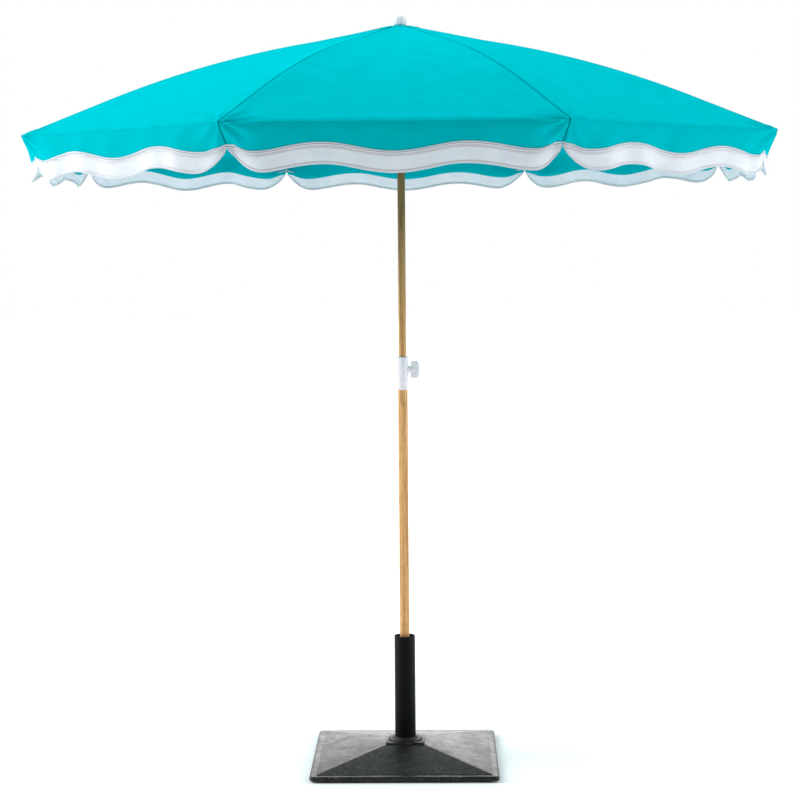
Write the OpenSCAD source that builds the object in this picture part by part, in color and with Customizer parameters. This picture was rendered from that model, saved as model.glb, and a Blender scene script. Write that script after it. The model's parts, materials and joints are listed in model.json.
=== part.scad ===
// Beach umbrella with an octagonal fabric canopy, a two-part pole and a weighted square base.
// Millimetres, +Z up. The origin is on the ground, under the middle of the base.
// The canopy is open. Each rib turns on the crown and each stretcher turns on its rib.

/* [Canopy] */
// Radius from the pole's axis to the rib tips
canopy_r = 1100; // [1080:5:1120]
// Height of the rib pivots over the ground
pivot_z = 2112; // [2100:2:2130]
// Slope of a rib at its root
root_slope = 9.5; // [9:0.5:10]
// Slope of a rib at its tip
tip_slope = 22.5; // [21.5:0.5:23.5]
// Length of the valance where its wave is lowest
valance_long = 120; // [115:1:126]
// Length of the valance where its wave is highest
valance_short = 98; // [92:1:104]
// Angle by which the valance hangs inwards from upright
valance_lean = 8; // [5:1:14]

/* [Pole] */
// Outer diameter of the upper pole
upper_d = 22; // [22:0.5:23]
// Outer diameter of the lower pole
lower_d = 28; // [27.5:0.5:28.5]
// Height of the clamp sleeve's top over the ground
sleeve_top = 1172; // [1150:2:1180]
// Height of the clamp sleeve
sleeve_h = 96; // [90:2:100]

/* [Base] */
// Side of the square base
base_w = 532; // [520:2:540]
// Outer diameter of the base tube
tube_d = 60.3; // [60:0.1:61]
// Height of the base tube's mouth over the ground
tube_top = 360; // [350:5:370]
// Side of the flat pad round the tube
pad_w = 111; // [108:1:116]
// Height of the pad's top over the ground
pad_z = 59; // [57:1:62]

/* [Hidden] */

$fn = 48;
eps = 0.5;            // how far a cut runs past a face
fit = 0.05;           // gap round a pin, a plug or a sleeve
count = 8;            // ribs, stretchers, panels and valances
step = 360 / count;   // angle from one rib to the next
half = step / 2;      // angle from the middle of a panel to its rib

// base
shell_t = 3.5;        // wall of the base shell
rim_low = 3;          // underside of the shell's rim
rim_high = 17;        // flat top of the rim
rim_r = (rim_high - rim_low) / 2;
rim_corner = 15;
foot_z = 18.5;        // top of the small step at the foot of the slopes
foot_half = base_w / 2 - 19.5;
pad_t = 5;
slope_top = pad_z - pad_t;
plate_low = 6;
plate_high = 10;
boss_at = 225;        // screws and their bosses stand on this square
foot_at = 190;
foot_r = 22;
tube_r = tube_d / 2;
tube_wall = 2.5;
tube_bore = tube_r - tube_wall;
plug_top = 24;
knob_z = tube_top - 45;
m8 = 4;               // radius of an M8 thread
m10 = 5;

// pole
upper_r = upper_d / 2;
upper_wall = 1.5;
lower_r = lower_d / 2;
lower_wall = 1.8;
bush_low = plug_top + 0.1;
bush_high = tube_top - 30;
bush_floor = 8;
bush_r = tube_bore - 0.07;
bush_bore = lower_r + 0.07;
bush_wall = 3;
pole_foot_low = bush_low + bush_floor + 0.1;
lower_low = pole_foot_low + 4;
sleeve_r = 17;
sleeve_low = sleeve_top - sleeve_h;
lower_high = sleeve_low + 45;
screw_z = sleeve_low + 58;
knob_boss = 22;       // reach of the sleeve's boss from the axis
m6 = 3;
upper_low = 800;
upper_high = pivot_z + 11;

// crown and ribs
pivot_r = 22;
crown_r = 30;
crown_low = pivot_z - 12;
crown_high = pivot_z + 13;
ring_d = 2.2;
rib_w = 4;            // side of the square rib
blade_t = 3;
bend_start = 220;     // radius at which the ribs begin to curve down
bend_end = 860;       // radius at which they are straight again
bend_r = (bend_end - bend_start) / (sin(tip_slope) - sin(root_slope));
bend_z = pivot_z - (bend_start - pivot_r) * tan(root_slope);
bend_drop = bend_r * (cos(root_slope) - cos(tip_slope));

// stretchers and runner
joint_r = 398;        // radius of the joint between a rib and its stretcher
joint_under = 8.4;    // how far that joint hangs under the rib's middle
bar_t = 3.2;
bar_h = 6;
eye_r = 4;
pin_r = 1.5;
joint_z = rib_z(joint_r) - joint_under;
fall = pivot_z - joint_z;
runner_z = joint_z - fall;          // height of the stretchers' inner pivots
stretcher_len = norm([joint_r - pivot_r, fall]);
stretcher_tilt = atan(fall / (joint_r - pivot_r));
runner_bore = upper_r + 0.3;
runner_r = 17;
runner_low = runner_z - 33;
flange_r = 31;
slot_w = 3.8;
catch_top = runner_low - 0.4;

// fabric
cloth_t = 1.2;
cloth_over = 4.5;     // top of the cloth over a rib's middle
crest_r = 30;         // the cloth leaves the crown here and meets the ribs at rest_r
crest_z = pivot_z + 15;
rest_r = 260;
cap_r = 44;
panel_start = 36;
seam_gap = 0.4;
hem_x = canopy_r * cos(half);
hem_z = cloth_z(canopy_r);
wave_len = 0.42 * 2 * canopy_r * sin(half);
notch_v = 58;         // distance down the valance at which neighbouring flaps part
corner_w = 85;        // width of the rounded end of a flap

// Height of a rib's middle line at radius r
function rib_z(r) =
    r < bend_start ? pivot_z - (r - pivot_r) * tan(root_slope)
    : r < bend_end ? bend_z - bend_r * (cos(root_slope) - cos(rib_slope(r)))
    : bend_z - bend_drop - (r - bend_end) * tan(tip_slope);
// Slope of a rib at radius r
function rib_slope(r) =
    r < bend_start ? root_slope
    : r < bend_end ? asin(sin(root_slope) + (r - bend_start) / bend_r)
    : tip_slope;
// Point at distance d over the rib's middle line at radius r
function rib_point(r, d) = [r + d * sin(rib_slope(r)), rib_z(r) + d * cos(rib_slope(r))];
// Height of the cloth's top face over a rib at radius r
function cloth_on_rib(r) = rib_z(r) + cloth_over / cos(rib_slope(r));
function cloth_z(r) =
    r < rest_r
    ? crest_z + (cloth_on_rib(rest_r) - crest_z) * (r - crest_r) / (rest_r - crest_r)
    : cloth_on_rib(r);
// How far the flap reaches down at distance u from its middle, before its rounded ends
function wave_v(u) =
    (valance_long + valance_short) / 2 + (valance_long - valance_short) / 2 * cos(360 * u / wave_len);
// Half width of the flap at distance v down it, up to the seam with its neighbour
function seam_u(v) = (hem_x - cloth_t - v * sin(valance_lean)) * tan(half) - seam_gap;

// A tube standing on z
module tube(r_out, r_in, z_low, z_high) {
    translate([0, 0, z_low]) difference() {
        cylinder(r = r_out, h = z_high - z_low);
        translate([0, 0, -eps]) cylinder(r = r_in, h = z_high - z_low + 2 * eps);
    }
}
// A rod between two heights
module rod(r, z_low, z_high) {
    translate([0, 0, z_low]) cylinder(r = r, h = z_high - z_low);
}
// A rod along +X from x0 to x1
module rod_x(r, x0, x1) {
    translate([x0, 0, 0]) rotate([0, 90, 0]) cylinder(r = r, h = x1 - x0);
}
// A rod along Y, centred
module rod_y(r, w) {
    rotate([90, 0, 0]) cylinder(r = r, h = w, center = true);
}
// A square block with sloping sides, from its side outline
module pyramid(outline, w) {
    intersection() {
        rotate([90, 0, 0]) linear_extrude(height = w, center = true) polygon(outline);
        rotate([90, 0, 90]) linear_extrude(height = w, center = true) polygon(outline);
    }
}
// Both sides of an outline, from its right-hand points
function both_sides(points) =
    concat(points, [for (i = [len(points) - 1:-1:0]) [-points[i].x, points[i].y]]);
// Turns a child to rib or panel k
module at_rib(k) { rotate([0, 0, half + step * (k - 1)]) children(); }
module at_panel(k) { rotate([0, 0, step * (k - 1)]) children(); }

// ---- base ----
// Slab with a half-round edge and rounded corners
module rim() {
    inner = base_w - 2 * rim_r;
    straight = base_w - 2 * rim_corner;
    mid = (rim_low + rim_high) / 2;
    at = base_w / 2 - rim_corner;
    translate([0, 0, mid]) {
        cube([inner, straight, 2 * rim_r], center = true);
        cube([straight, inner, 2 * rim_r], center = true);
        for (a = [0:90:270]) rotate([0, 0, a]) {
            translate([inner / 2, 0, 0]) rod_y(rim_r, straight);
            translate([at, at, 0]) {
                rod(rim_corner - rim_r, -rim_r, rim_r);
                rotate_extrude() translate([rim_corner - rim_r, 0]) circle(r = rim_r);
            }
        }
    }
}
// Blow-moulded plastic cover of the base, open underneath
module base_shell() color("#2b2c2e") {
    slope = (foot_half - pad_w / 2) / (slope_top - foot_z);
    top = both_sides([
        [foot_half, rim_high - 2], [foot_half, foot_z], [pad_w / 2, slope_top], [pad_w / 2, pad_z]
    ]);
    inside_half = foot_half - shell_t;
    inside = both_sides([
        [inside_half, rim_low - eps], [inside_half, foot_z - shell_t],
        [pad_w / 2 - shell_t + slope * 0.5, slope_top - shell_t],
        [pad_w / 2 - shell_t, slope_top - shell_t + 0.5], [pad_w / 2 - shell_t, pad_z - shell_t]
    ]);
    difference() {
        union() {
            rim();
            pyramid(top, base_w);
        }
        difference() {
            union() {
                pyramid(inside, base_w);
                translate([0, 0, (rim_low + rim_high - shell_t - eps) / 2])
                    cube([base_w - 34, base_w - 34, rim_high - shell_t - rim_low + eps], center = true);
            }
            for (x = [-1:1], y = [-1:1]) if (x != 0 || y != 0)
                translate([x * boss_at, y * boss_at, 0]) rod(5, plate_high, foot_z + 5);
        }
        rod(tube_r + fit, 0, pad_z + eps);
        for (x = [-1:1], y = [-1:1]) if (x != 0 || y != 0)
            translate([x * boss_at, y * boss_at, 0]) rod(2 + fit, rim_low, foot_z - 1.5);
    }
}
// Cast concrete block inside the shell
module base_weight() color("#8b8a86") {
    low_half = 208;
    shoulder = 19;
    block_top = 48.5;
    slope = (foot_half - pad_w / 2) / (slope_top - foot_z);
    difference() {
        pyramid(both_sides([
            [low_half, plate_high], [low_half, shoulder], [low_half - slope * (block_top - shoulder), block_top]
        ]), base_w);
        rod(tube_r + 0.3, 0, pad_z);
    }
}
// Flat plate that closes the underside
module base_bottom() color("#222325") difference() {
    translate([0, 0, (plate_low + plate_high) / 2])
        cube([base_w - 36, base_w - 36, plate_high - plate_low], center = true);
    rod(m10 + 0.5, 0, plate_high + eps);
    for (x = [-1:1], y = [-1:1]) if (x != 0 || y != 0)
        translate([x * boss_at, y * boss_at, 0]) rod(2.3, 0, plate_high + eps);
}
// Eight pan-head screws that hold the plate to the shell's bosses
module bottom_screws() color("silver")
    for (x = [-1:1], y = [-1:1]) if (x != 0 || y != 0)
        translate([x * boss_at, y * boss_at, 0]) {
            rod(4, plate_low - 2.5, plate_low);
            rod(2, plate_low, foot_z - 3);
        }
// Four rubber feet
module base_feet() color("#1b1b1b")
    for (x = [-1, 1], y = [-1, 1]) translate([x * foot_at, y * foot_at, 0]) rod(foot_r, 0, plate_low);
// Round plastic collar over the hole in the pad
module base_flange() color("#1d1d1f") {
    tube(50, tube_r + fit, pad_z, pad_z + 3.5);
    tube(36, tube_r + fit, pad_z + 3.5, pad_z + 8);
}
// Upright steel tube, drilled at the back for the clamp screw
module base_tube() color("#161616") difference() {
    tube(tube_r, tube_bore, plate_high, tube_top);
    translate([0, 0, knob_z]) rotate([0, 0, 90]) rod_x(m8 + 0.4, tube_bore - 5, tube_r + 5);
}
// Steel plug welded in the foot of the tube
module tube_plug() color("#3a3a3c") tube(tube_bore - 0.02, m10 + fit, plate_high, plug_top);
// Bolt that pulls the tube down on the base
module base_bolt() color("silver") {
    rod(14, 2, 3.2);
    translate([0, 0, 3.2]) cylinder(r = 9, h = plate_low - 3.2, $fn = 6);
    rod(m10, plate_low - 0.2, plug_top - 1);
}
// Welded boss on the back of the tube
module knob_nut() color("#161616") difference() {
    translate([0, 0, knob_z]) rotate([0, 0, 90]) difference() {
        rod_x(8.5, tube_r - 3, tube_r + 12);
        rod_x(m8 + 0.06, tube_r - 5, tube_r + 14);
    }
    rod(tube_r, knob_z - 20, knob_z + 20);
}
// Clamp screw of the base tube
module tube_screw() color("silver")
    translate([0, 0, knob_z]) rotate([0, 0, 90]) rod_x(m8, bush_r + 0.12, tube_r + 24);
// Wing knob on that screw
module tube_knob() color("#161616") translate([0, 0, knob_z]) rotate([0, 0, 90]) difference() {
    wing(tube_r + 12.6, 10, 5, 18, 44, 9);
    rod_x(m8, tube_r, tube_r + 24);
}
// Knob along +X: round neck, then a flat wing with rounded ends
module wing(x0, neck_r, neck_l, head_t, head_h, wing_t) {
    rod_x(neck_r, x0, x0 + neck_l);
    translate([x0 + neck_l, 0, 0]) {
        rod_x(neck_r, 0, head_t);
        intersection() {
            translate([head_t / 2, 0, 0]) cube([head_t, wing_t, head_h], center = true);
            union() {
                translate([-eps, -wing_t, -head_h / 2]) cube([head_t - 6 + eps, 2 * wing_t, head_h]);
                translate([-eps, -wing_t, -head_h / 2 + 6]) cube([head_t + 2 * eps, 2 * wing_t, head_h - 12]);
                for (s = [-1, 1]) translate([head_t - 6, 0, s * (head_h / 2 - 6)]) rod_y(6, 2 * wing_t);
            }
        }
    }
}

// ---- pole ----
// Plastic reducer that turns in the base tube and holds the pole
module pole_bush() color("#202124") difference() {
    union() {
        rod(bush_bore + bush_wall, bush_low, bush_high);
        rod(bush_r, bush_low, bush_low + 14);
        rod(bush_r, 170, 182);
        rod(bush_r, bush_high - 30, bush_high);
    }
    rod(bush_bore, bush_low + bush_floor, bush_high + eps);
}
// Lower tube of the pole
module lower_pole() color("#d5ac7a") tube(lower_r, lower_r - lower_wall, lower_low, lower_high);
// Plastic foot of the lower tube
module pole_foot() color("#202124") {
    rod(lower_r, pole_foot_low, lower_low);
    rod(lower_r - lower_wall - fit, lower_low, lower_low + 20);
}
// White clamp sleeve: wide bore on the lower tube, narrow bore on the upper one
module height_sleeve() color("#f2f4f6") difference() {
    union() {
        rod(sleeve_r, sleeve_low, sleeve_top);
        translate([0, 0, screw_z]) rod_x(10, 0, knob_boss);
    }
    rod(lower_r + fit, sleeve_low - eps, lower_high);
    rod(upper_r + fit, sleeve_low, sleeve_top + eps);
    translate([0, 0, screw_z]) {
        rod_x(5 + fit, 12.5, knob_boss + 1);
        rod_x(m6 + 0.3, 0, 13);
    }
}
// Threaded brass insert moulded in the sleeve's boss
module sleeve_insert() color("#b5893c") translate([0, 0, screw_z]) difference() {
    rod_x(5, 12.5, knob_boss);
    rod_x(m6 + 0.06, 12, knob_boss + 1);
}
// Clamp screw of the sleeve
module height_screw() color("silver") translate([0, 0, screw_z]) rod_x(m6, upper_r + 0.1, 42);
// White wing knob on that screw
module height_knob() color("#f2f4f6") translate([0, 0, screw_z]) difference() {
    wing(knob_boss + 0.4, 10, 3, 24, 49, 14);
    rod_x(m6, knob_boss, 42);
}
// Upper tube of the pole, with a slot and a hole for the runner's catch
module upper_pole() color("#6b6247") difference() {
    tube(upper_r, upper_r - upper_wall, upper_low, upper_high);
    translate([upper_r, 0, catch_top - 8]) cube([8, 4, 24], center = true);
    translate([upper_r, 0, catch_top - 80]) cube([8, 3, 3], center = true);
}
// Plug in the top of the pole, with the stud that takes the finial
module pole_plug() color("silver") {
    rod(upper_r - upper_wall - fit, upper_high - 25, upper_high);
    rod(upper_r, upper_high, crest_z);
    rod(m6, crest_z, crest_z + 18);
}
// Slotted hub in which the ribs turn
module crown() color("#f2f4f6") difference() {
    rod(crown_r, crown_low, crown_high);
    rod(upper_r + fit, crown_low - eps, crown_high + eps);
    for (k = [1:count]) at_rib(k)
        translate([pivot_r - 4.8, -slot_w / 2, crown_low - eps])
            cube([crown_r, slot_w, crown_high - crown_low + 2 * eps]);
    translate([0, 0, pivot_z]) rotate_extrude() {
        translate([pivot_r, 0]) circle(d = ring_d + 0.1);
        translate([pivot_r - ring_d / 2 - fit, 0]) square([ring_d + 0.1, 30]);
    }
}
// Wire ring through the roots of all the ribs
module crown_ring() color("silver")
    translate([0, 0, pivot_z]) rotate_extrude($fn = 96) translate([pivot_r, 0]) circle(d = ring_d);
// Round knob on the top
module finial() color("#f2f4f6") {
    low = crest_z + 3.6;
    dome_r = 20.5;
    difference() {
        union() {
            rod(dome_r, low, low + 13);
            intersection() {
                translate([0, 0, low + 13]) sphere(r = dome_r, $fn = 64);
                rod(dome_r + 1, low + 10, low + 40);
            }
        }
        rod(m6, low - eps, crest_z + 18);
    }
}
// Round fabric patch under the finial, over the inner ends of the panels
module apex_cap() color("#19bccb") rotate_extrude()
    polygon([
        [m6 + fit, crest_z + 0.2], [crest_r, crest_z + 0.2], [cap_r, cloth_z(cap_r) + 0.8],
        [cap_r, cloth_z(cap_r) + 0.8 + cloth_t], [crest_r, crest_z + 1.8], [m6 + fit, crest_z + 3.5]
    ]);
// Sliding hub that carries the inner ends of the stretchers
module runner() color("#f2f4f6") difference() {
    union() {
        rod(runner_r, runner_low, runner_z + 27);
        rod(flange_r, runner_z - 8, runner_z + 9);
        rod(runner_r + 1, runner_low, runner_low + 4);
    }
    rod(runner_bore, runner_low - eps, runner_z + 28);
    for (k = [1:count]) at_rib(k) {
        translate([pivot_r - 4.4, -slot_w / 2, runner_z - 9]) cube([flange_r, slot_w, 30]);
        translate([pivot_r - pin_r - 0.3, -5, runner_z - 9]) cube([2 * pin_r + 0.6, 10, 30]);
    }
}
// Spring leaf in the pole whose tooth stands under the open runner
module runner_catch() color("silver") rotate([90, 0, 0]) linear_extrude(height = 3, center = true)
    polygon([
        [upper_r - 2.7, catch_top - 81.5], [upper_r, catch_top - 81.5], [upper_r, catch_top - 78.5],
        [upper_r - 1.7, catch_top - 78.5], [upper_r - 1.7, catch_top - 16], [upper_r + 4.5, catch_top - 2],
        [upper_r + 4.5, catch_top], [upper_r - 2.7, catch_top]
    ]);

// ---- canopy frame ----
// Rib: flat root with its eye, square steel bar that curves down, joint bracket and round tip
module rib(k) color("#e8eaec") at_rib(k) {
    tip_len = 14;
    bar_from = pivot_r + 20;
    bar_to = canopy_r - 7 - tip_len;
    n = 16;
    middle = concat([bar_from], [for (i = [0:n]) bend_start + (bend_end - bend_start) * i / n], [bar_to]);
    top = [for (r = middle) rib_point(r, rib_w / 2)];
    under = [for (i = [len(middle) - 1:-1:0]) rib_point(middle[i], -rib_w / 2)];
    difference() {
        union() {
            translate([pivot_r, 0, pivot_z]) rotate([0, root_slope, 0]) {
                rod_y(eye_r, blade_t);
                translate([0, -blade_t / 2, -1.8]) cube([26, blade_t, 3.6]);
            }
            rotate([90, 0, 0]) linear_extrude(height = rib_w, center = true) polygon(concat(top, under));
            translate([bar_to, 0, rib_z(bar_to)]) rotate([0, tip_slope, 0]) rod_x(3, -1, tip_len);
            joint_bracket();
        }
        translate([pivot_r, 0, pivot_z]) rod_y(ring_d / 2 + 0.1, blade_t + 2);
    }
}
// Two ears under the rib, with the pin on which the stretcher turns
module joint_bracket() {
    gap = bar_t + 0.4;
    ear_t = 1.5;
    slope = rib_slope(joint_r);
    translate([joint_r, 0, joint_z]) {
        for (s = [-1, 1]) translate([0, s * (gap + ear_t) / 2, 0]) {
            rod_y(eye_r, ear_t);
            rotate([0, slope, 0]) translate([-eye_r, -ear_t / 2, 0]) cube([2 * eye_r, ear_t, joint_under + 1]);
        }
        rod_y(pin_r, gap + 2 * ear_t);
    }
}
// Stretcher: flat bar with an eye at the rib and a cross pin at the runner
module stretcher(k) color("#e8eaec") at_rib(k)
    translate([joint_r, 0, joint_z]) rotate([0, 180 - stretcher_tilt, 0]) {
        difference() {
            union() {
                rod_y(eye_r, bar_t);
                translate([0, -bar_t / 2, -bar_h / 2]) cube([stretcher_len, bar_t, bar_h]);
            }
            rod_y(pin_r + 0.05, bar_t + 2);
        }
        translate([stretcher_len, 0, 0]) {
            rod_y(3.8, bar_t);
            rod_y(pin_r, 9);
        }
    }

// ---- fabric ----
// Panel: cloth stretched between two ribs, from the apex cap to the hem
module panel(k) color("#0fc6d4") at_panel(k) {
    n = 16;
    inner = panel_start;
    radii = [for (i = [0:n]) inner + (canopy_r - inner) * i / n];
    top = [for (r = radii) [r * cos(half), cloth_z(r)]];
    under = [for (i = [n:-1:0]) [top[i].x, top[i].y - cloth_t]];
    reach = canopy_r * 1.1;
    intersection() {
        rotate([90, 0, 0]) linear_extrude(height = 2 * canopy_r, center = true) polygon(concat(top, under));
        translate([seam_gap / sin(half), 0, pivot_z / 2])
            linear_extrude(height = pivot_z) polygon([[0, 0], [reach, reach * tan(half)], [reach, -reach * tan(half)]]);
    }
}
// Valance: flap that hangs from the hem, with a wavy lower edge and rounded ends
module valance(k) color("#e6ebef") at_panel(k) {
    n = 24;
    corner_at = seam_u(notch_v) - corner_w;
    side = [[seam_u(0), 0], [seam_u(notch_v), -notch_v]];
    ends = [for (a = [15:15:75])
        [corner_at + corner_w * cos(a), -notch_v - (wave_v(corner_at) - notch_v) * sin(a)]];
    wave = [for (i = [n:-1:0]) [corner_at * i / n, -wave_v(corner_at * i / n)]];
    translate([hem_x, 0, hem_z - cloth_t - 0.4]) rotate([0, valance_lean, 0])
        rotate([90, 0, 90]) translate([0, 0, -cloth_t]) linear_extrude(height = cloth_t)
            polygon(both_sides(concat(side, ends, wave)));
}

base_shell();
base_weight();
base_bottom();
bottom_screws();
base_feet();
base_flange();
base_tube();
tube_plug();
base_bolt();
knob_nut();
tube_knob();
tube_screw();
pole_bush();
lower_pole();
pole_foot();
height_sleeve();
sleeve_insert();
height_knob();
height_screw();
upper_pole();
pole_plug();
crown();
crown_ring();
finial();
apex_cap();
runner();
runner_catch();
rib(1);  // rib_1
rib(2);  // rib_2
rib(3);  // rib_3
rib(4);  // rib_4
rib(5);  // rib_5
rib(6);  // rib_6
rib(7);  // rib_7
rib(8);  // rib_8
stretcher(1);  // stretcher_1
stretcher(2);  // stretcher_2
stretcher(3);  // stretcher_3
stretcher(4);  // stretcher_4
stretcher(5);  // stretcher_5
stretcher(6);  // stretcher_6
stretcher(7);  // stretcher_7
stretcher(8);  // stretcher_8
panel(1);  // panel_1
panel(2);  // panel_2
panel(3);  // panel_3
panel(4);  // panel_4
panel(5);  // panel_5
panel(6);  // panel_6
panel(7);  // panel_7
panel(8);  // panel_8
valance(1);  // valance_1
valance(2);  // valance_2
valance(3);  // valance_3
valance(4);  // valance_4
valance(5);  // valance_5
valance(6);  // valance_6
valance(7);  // valance_7
valance(8);  // valance_8
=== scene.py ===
"""Beach umbrella: turquoise canopy with white wavy bands, two-part wood-look pole, weighted square base."""
import json
import math

import bmesh
import bpy
from mathutils import Matrix, Vector, noise


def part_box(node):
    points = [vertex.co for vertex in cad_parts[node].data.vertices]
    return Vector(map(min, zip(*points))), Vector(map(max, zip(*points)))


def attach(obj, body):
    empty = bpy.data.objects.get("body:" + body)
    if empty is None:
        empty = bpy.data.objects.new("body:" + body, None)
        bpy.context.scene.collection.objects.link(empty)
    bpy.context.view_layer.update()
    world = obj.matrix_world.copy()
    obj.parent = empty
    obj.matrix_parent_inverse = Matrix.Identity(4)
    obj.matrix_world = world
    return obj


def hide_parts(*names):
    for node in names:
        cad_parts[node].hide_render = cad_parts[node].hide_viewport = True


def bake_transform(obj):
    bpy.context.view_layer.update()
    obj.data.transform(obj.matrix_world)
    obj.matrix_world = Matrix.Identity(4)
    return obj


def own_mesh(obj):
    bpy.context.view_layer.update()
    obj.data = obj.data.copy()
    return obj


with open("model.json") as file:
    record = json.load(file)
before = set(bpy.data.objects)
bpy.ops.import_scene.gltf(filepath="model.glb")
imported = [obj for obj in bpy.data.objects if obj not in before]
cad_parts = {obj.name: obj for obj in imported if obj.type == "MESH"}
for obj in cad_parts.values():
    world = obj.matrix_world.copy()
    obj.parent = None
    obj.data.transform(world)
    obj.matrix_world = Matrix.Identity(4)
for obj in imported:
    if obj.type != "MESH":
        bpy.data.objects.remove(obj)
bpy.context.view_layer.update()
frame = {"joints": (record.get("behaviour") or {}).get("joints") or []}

# ---- Camera ----
# A long lens at standing height in front of one panel. The lens's shift gives most of the drop in its view,
# so the pole's sides stay nearly parallel. The camera also looks down by 1.4 degrees, and leans by half a
# degree.
eye_height = 1.532
eye_distance = 5.76
eye_turn = math.radians(0.9)
aim_aside = math.radians(0.045)
look_down_deg = 1.37
lean_deg = 0.45
camera = bpy.data.objects.new("camera", bpy.data.cameras.new("camera"))
bpy.context.scene.collection.objects.link(camera)
bpy.context.scene.camera = camera
camera.data.sensor_width = 36
camera.data.lens = 89.45
camera.data.shift_y = -0.15
camera.location = (eye_distance * math.sin(eye_turn), -eye_distance * math.cos(eye_turn), eye_height)
camera.rotation_euler = (math.radians(90 - look_down_deg), math.radians(lean_deg), eye_turn + aim_aside)


# ---- Base cover ----
# Blow-moulded polyethylene shell over the concrete: a slab with a half-round rim and a low pyramid with a
# square pad on it. Its mould was sand-textured, so it is matte dark grey with fine pale speckles.
def hex_colour(code):
    """sRGB hex to the linear colour that a socket takes."""
    channels = [int(code[i:i + 2], 16) / 255 for i in (1, 3, 5)]
    return [c / 12.92 if c <= 0.04045 else ((c + 0.055) / 1.055) ** 2.4 for c in channels] + [1]


def add_node(tree, kind, settings=None, **inputs):
    """Adds a node. settings are its properties, and inputs its sockets: a value, or a socket to link."""
    node = tree.nodes.new("ShaderNode" + kind)
    for name, value in (settings or {}).items():
        setattr(node, name, value)
    for name, value in inputs.items():
        key = int(name[1:]) if name[0] == "i" and name[1:].isdigit() else name.replace("_", " ")
        if isinstance(value, bpy.types.NodeSocket):
            tree.links.new(value, node.inputs[key])
        else:
            node.inputs[key].default_value = value
    return node


def new_finish(name, **inputs):
    """A material with one Principled shader, its node tree and the shader."""
    finish = bpy.data.materials.new(name)
    finish.use_nodes = True
    tree = finish.node_tree
    shader = tree.nodes["Principled BSDF"]
    for key, value in inputs.items():
        shader.inputs[key.replace("_", " ")].default_value = value
    return finish, tree, shader


def ramp_colours(node, *stops):
    """Sets a colour ramp's stops: pairs of place and colour."""
    ramp = node.color_ramp
    while len(ramp.elements) < len(stops):
        ramp.elements.new(0.5)
    for element, (place, colour) in zip(ramp.elements, stops):
        element.position = place
        element.color = colour
    return node.outputs["Color"]


def make_piece(name, bm, finish, body, smooth_deg=35):
    """Turns a finished bmesh into a piece that rides on body. body is None if it bends between two."""
    mesh = bpy.data.meshes.new(name)
    bm.to_mesh(mesh)
    bm.free()
    piece = bpy.data.objects.new(name, mesh)
    bpy.context.scene.collection.objects.link(piece)
    mesh.materials.append(finish)
    mesh.shade_smooth()
    mesh.set_sharp_from_angle(angle=math.radians(smooth_deg))
    if body:
        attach(piece, body)
    return piece


def bevel(bm, edges, width, segments):
    """Rounds edges by width."""
    bmesh.ops.bevel(
        bm, geom=edges, offset=width, segments=segments, profile=0.5, affect="EDGES", material=-1,
        clamp_overlap=True
    )


def box(bm, low, high):
    """Adds a box between two corners."""
    made = bmesh.ops.create_cube(bm, size=1)["verts"]
    low, high = Vector(low), Vector(high)
    size = Matrix.Diagonal((high - low).to_4d())
    bmesh.ops.transform(bm, matrix=Matrix.Translation((low + high) / 2) @ size, verts=made)


def speckled_plastic():
    """Sand-textured dark polyethylene: pits and grains of 1 to 4 mm, with scuffed and dusty patches that are
    20 to 60 mm wide."""
    finish, tree, shader = new_finish("sand_textured_polyethylene", IOR=1.5)
    shader.inputs["Specular IOR Level"].default_value = 0.32
    place = add_node(tree, "TexCoord").outputs["Object"]
    grain = add_node(tree, "TexNoise", Vector=place, Scale=260.0, Detail=4.0, Roughness=0.75)
    patch = add_node(tree, "TexNoise", Vector=place, Scale=26.0, Detail=5.0, Roughness=0.7)
    colour = ramp_colours(
        add_node(tree, "ValToRGB", Fac=grain.outputs["Fac"]),
        (0.45, hex_colour("#060505")), (0.55, hex_colour("#0e0c0b")), (0.66, hex_colour("#6b6462"))
    )
    dust = ramp_colours(
        add_node(tree, "ValToRGB", Fac=patch.outputs["Fac"]),
        (0.35, (0.55, 0.55, 0.55, 1)), (0.65, (1.4, 1.4, 1.4, 1))
    )
    mixed = add_node(tree, "Mix", {"data_type": "RGBA", "blend_type": "MULTIPLY"}, i0=1.0, i6=colour, i7=dust)
    tree.links.new(mixed.outputs[2], shader.inputs["Base Color"])
    worn = add_node(tree, "MapRange", i0=patch.outputs["Fac"], i1=0.35, i2=0.65, i3=0.44, i4=0.3)
    tree.links.new(worn.outputs["Result"], shader.inputs["Roughness"])
    bump = add_node(tree, "Bump", Height=grain.outputs["Fac"], Strength=0.6, Distance=0.0007)
    soft = add_node(
        tree, "Bump", Height=patch.outputs["Fac"], Strength=0.3, Distance=0.003, Normal=bump.outputs["Normal"]
    )
    tree.links.new(soft.outputs["Normal"], shader.inputs["Normal"])
    return finish


base_plastic = speckled_plastic()
base_low, base_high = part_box("base_shell")
rim_height = 0.017
rim_corner = 0.015
foot_inset = 0.0195
foot_height = 0.0185
pad_half = 0.0555
pad_low = 0.054
shell_wall = 0.0032
mould_radius = 0.0012      # how sharp the mould's ridges come out
half_base = base_high.x
bm = bmesh.new()
box(bm, base_low, (half_base, half_base, rim_height))
bevel(bm, [e for e in bm.edges if abs(e.verts[0].co.z - e.verts[1].co.z) > 0.01], rim_corner, 6)
rounded = (rim_height - base_low.z) / 2 * 0.98
bevel(bm, [e for e in bm.edges if abs(e.verts[0].co.z - e.verts[1].co.z) < 1e-5], rounded, 5)
under = [f for f in bm.faces if f.normal.z < -0.99 and f.calc_area() > 0.1]
bmesh.ops.delete(bm, geom=under, context="FACES")
slopes = bmesh.new()
foot = half_base - foot_inset
box(slopes, (-foot, -foot, rim_height - 0.004), (foot, foot, foot_height))
top = [f for f in slopes.faces if f.normal.z > 0.9]
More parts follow.
